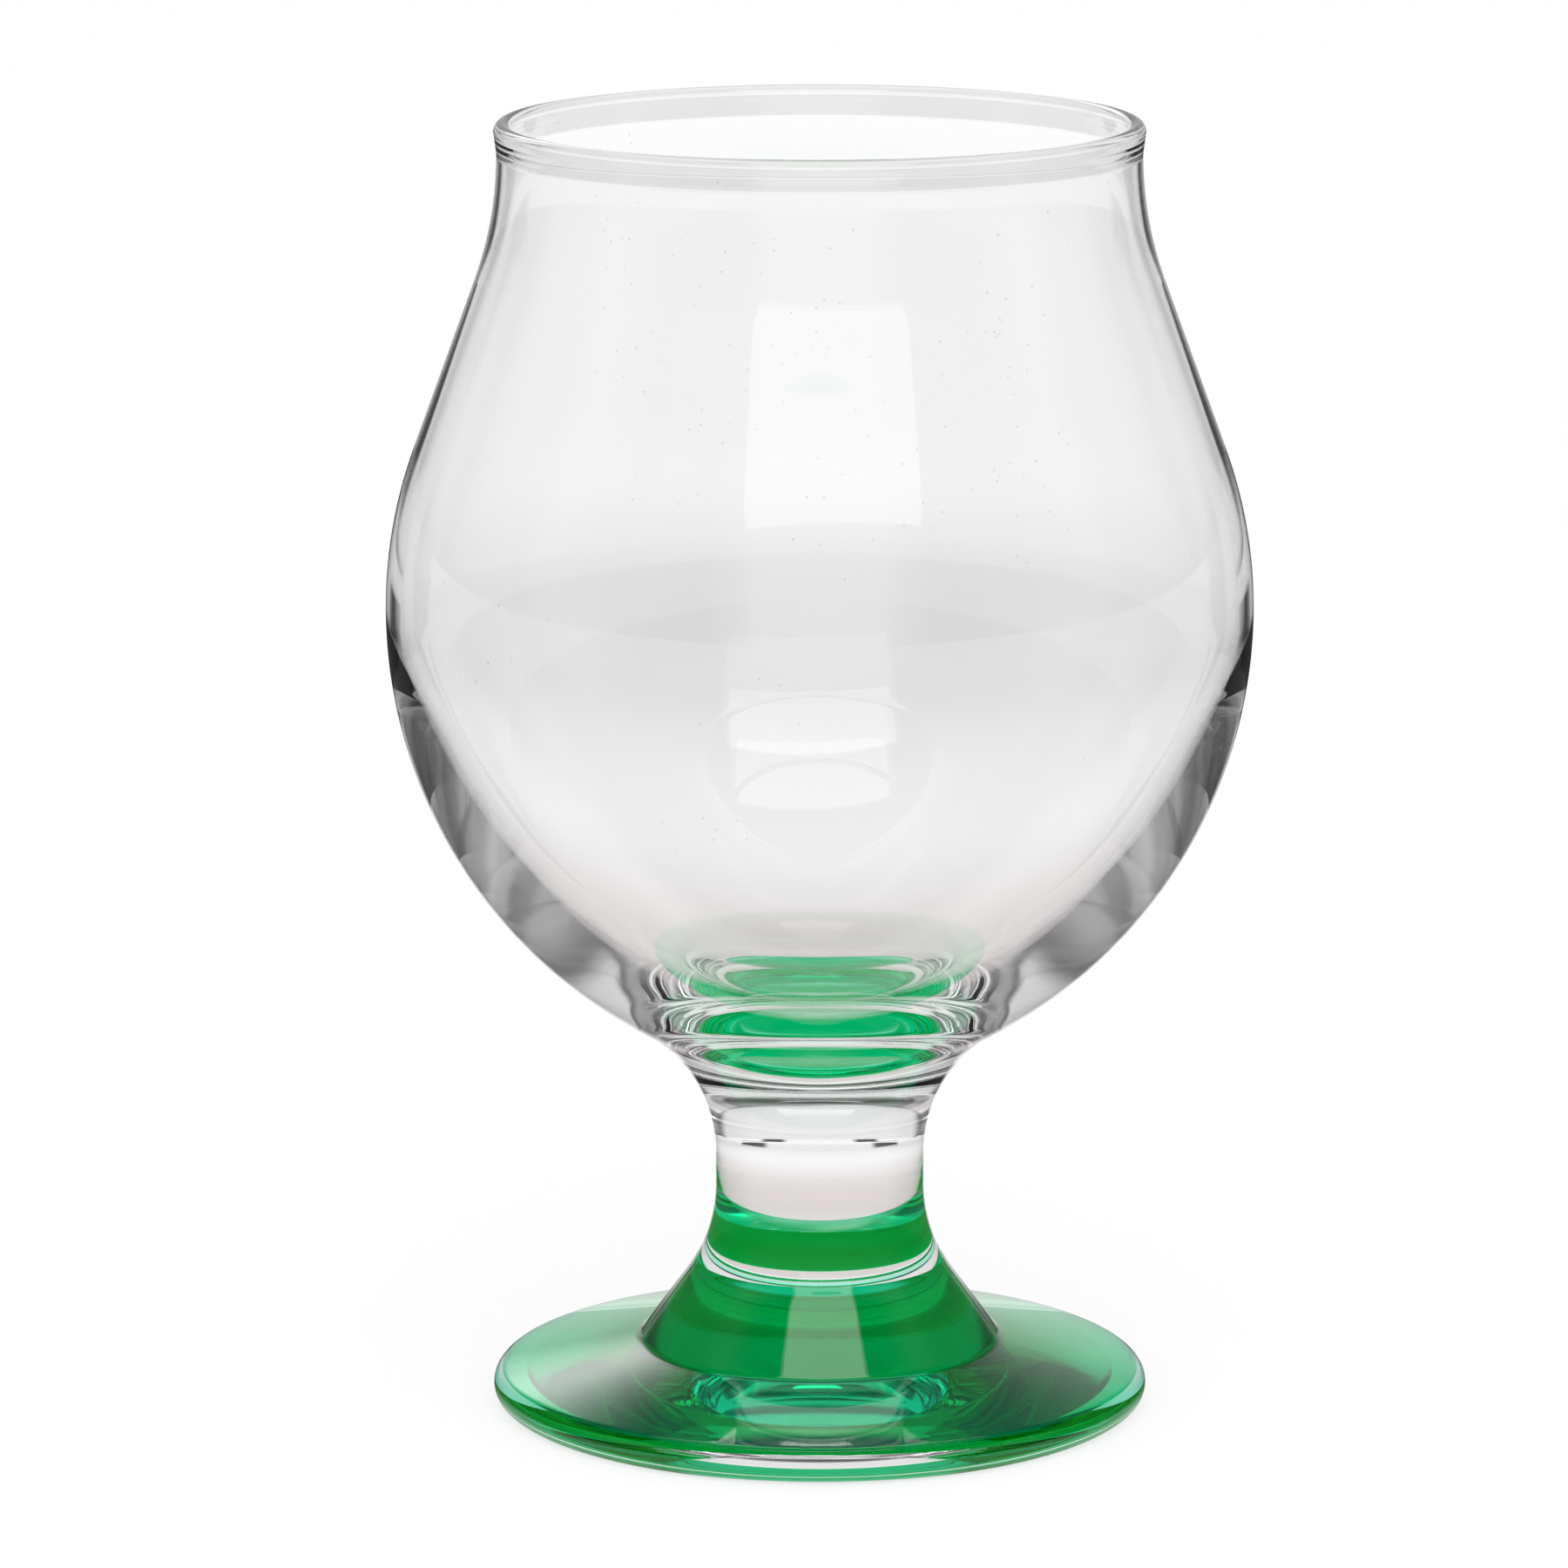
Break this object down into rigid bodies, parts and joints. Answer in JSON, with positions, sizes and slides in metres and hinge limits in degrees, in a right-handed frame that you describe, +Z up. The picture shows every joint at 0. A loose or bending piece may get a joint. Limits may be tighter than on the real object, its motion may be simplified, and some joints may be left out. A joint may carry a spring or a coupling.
{
  "type": "tulip beer glass",
  "caption": "Stemmed tulip-shaped beer glass with a round belly, a narrowed mouth, a solid stem and a disc foot that carries a translucent green colour coat",
  "frame": {"origin": "Centre of the foot on the surface that the glass stands on", "axes": "+Z runs up the glass's axis of revolution, and X and Y lie in the table"},
  "size_m": [0.0984, 0.0984, 0.1479],
  "materials": {
    "clear_glass": "clear polished soda-lime glass",
    "green_coat": "translucent glossy green lacquer"
  },
  "bodies": {
    "root": {"bowl": "clear_glass", "stem": "clear_glass", "foot": "clear_glass", "colour_coat": "green_coat"}
  },
  "joints": []
}
